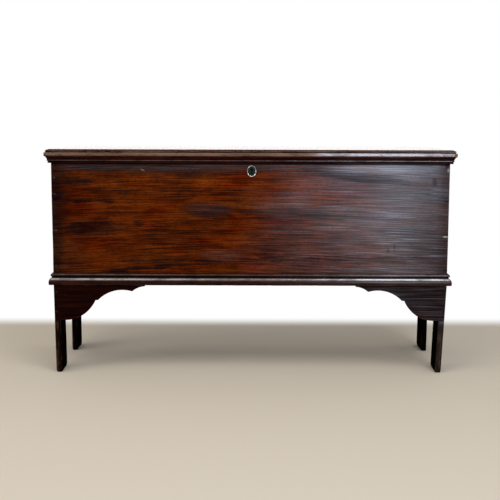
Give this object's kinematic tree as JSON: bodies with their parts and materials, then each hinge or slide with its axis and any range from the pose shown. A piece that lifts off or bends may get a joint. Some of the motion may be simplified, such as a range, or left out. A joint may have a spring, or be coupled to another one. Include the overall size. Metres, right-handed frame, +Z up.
{
  "type": "blanket chest",
  "caption": "Long plank storage chest on plank legs, with a hinged moulded lid, base moulding, shaped front brackets and a box lock behind an oval keyhole plate.",
  "frame": {"origin": "on the floor, at the middle of the whole chest's plan", "axes": "+X to the right along the front, +Y from the front to the back, +Z up"},
  "size_m": [1.262, 0.4458, 0.698],
  "materials": {
    "stained_wood": "dark stained and waxed, worn",
    "plain_wood": "unfinished, aged",
    "wrought_iron": "forged, dark",
    "escutcheon_metal": "worn, dull"
  },
  "bodies": {
    "chest": {"front_board": "stained_wood", "back_board": "stained_wood", "left_end_board": "stained_wood", "right_end_board": "stained_wood", "front_bottom_board": "plain_wood", "rear_bottom_board": "plain_wood", "left_front_bracket": "stained_wood", "right_front_bracket": "stained_wood", "left_bracket_block": "plain_wood", "right_bracket_block": "plain_wood", "base_moulding_front": "stained_wood", "base_moulding_left": "stained_wood", "base_moulding_right": "stained_wood", "left_hinge_leaf": "wrought_iron", "right_hinge_leaf": "wrought_iron", "left_hinge_pin": "wrought_iron", "right_hinge_pin": "wrought_iron", "hinge_leaf_nails": "wrought_iron", "escutcheon": "escutcheon_metal", "escutcheon_pins": "escutcheon_metal", "lock_plate": "wrought_iron", "lock_case": "wrought_iron", "lock_drill_pin": "wrought_iron", "lock_spring": "wrought_iron", "lock_nails": "wrought_iron", "front_board_nails": "wrought_iron", "back_board_nails": "wrought_iron", "bottom_board_nails": "wrought_iron", "bracket_nails": "wrought_iron", "base_moulding_sprigs": "wrought_iron"},
    "lid": {"lid_board": "stained_wood", "lid_moulding_front": "stained_wood", "lid_moulding_left": "stained_wood", "lid_moulding_right": "stained_wood", "lid_moulding_sprigs": "wrought_iron", "left_hinge_strap": "wrought_iron", "right_hinge_strap": "wrought_iron", "hinge_strap_nails": "wrought_iron", "lock_link_plate": "wrought_iron", "link_plate_nails": "wrought_iron"},
    "lock_bolt": {"lock_bolt": "wrought_iron"}
  },
  "joints": [
    {"name": "lid_hinge", "type": "hinge", "parent": "chest", "child": "lid", "pos_m": [0, 0.2169, 0.67], "axis": [-1, 0, 0], "range_deg": [0, 105]},
    {"name": "lock_bolt_slide", "type": "slide", "parent": "chest", "child": "lock_bolt", "axis": [1, 0, 0], "range_m": [0, 0.008]}
  ]
}
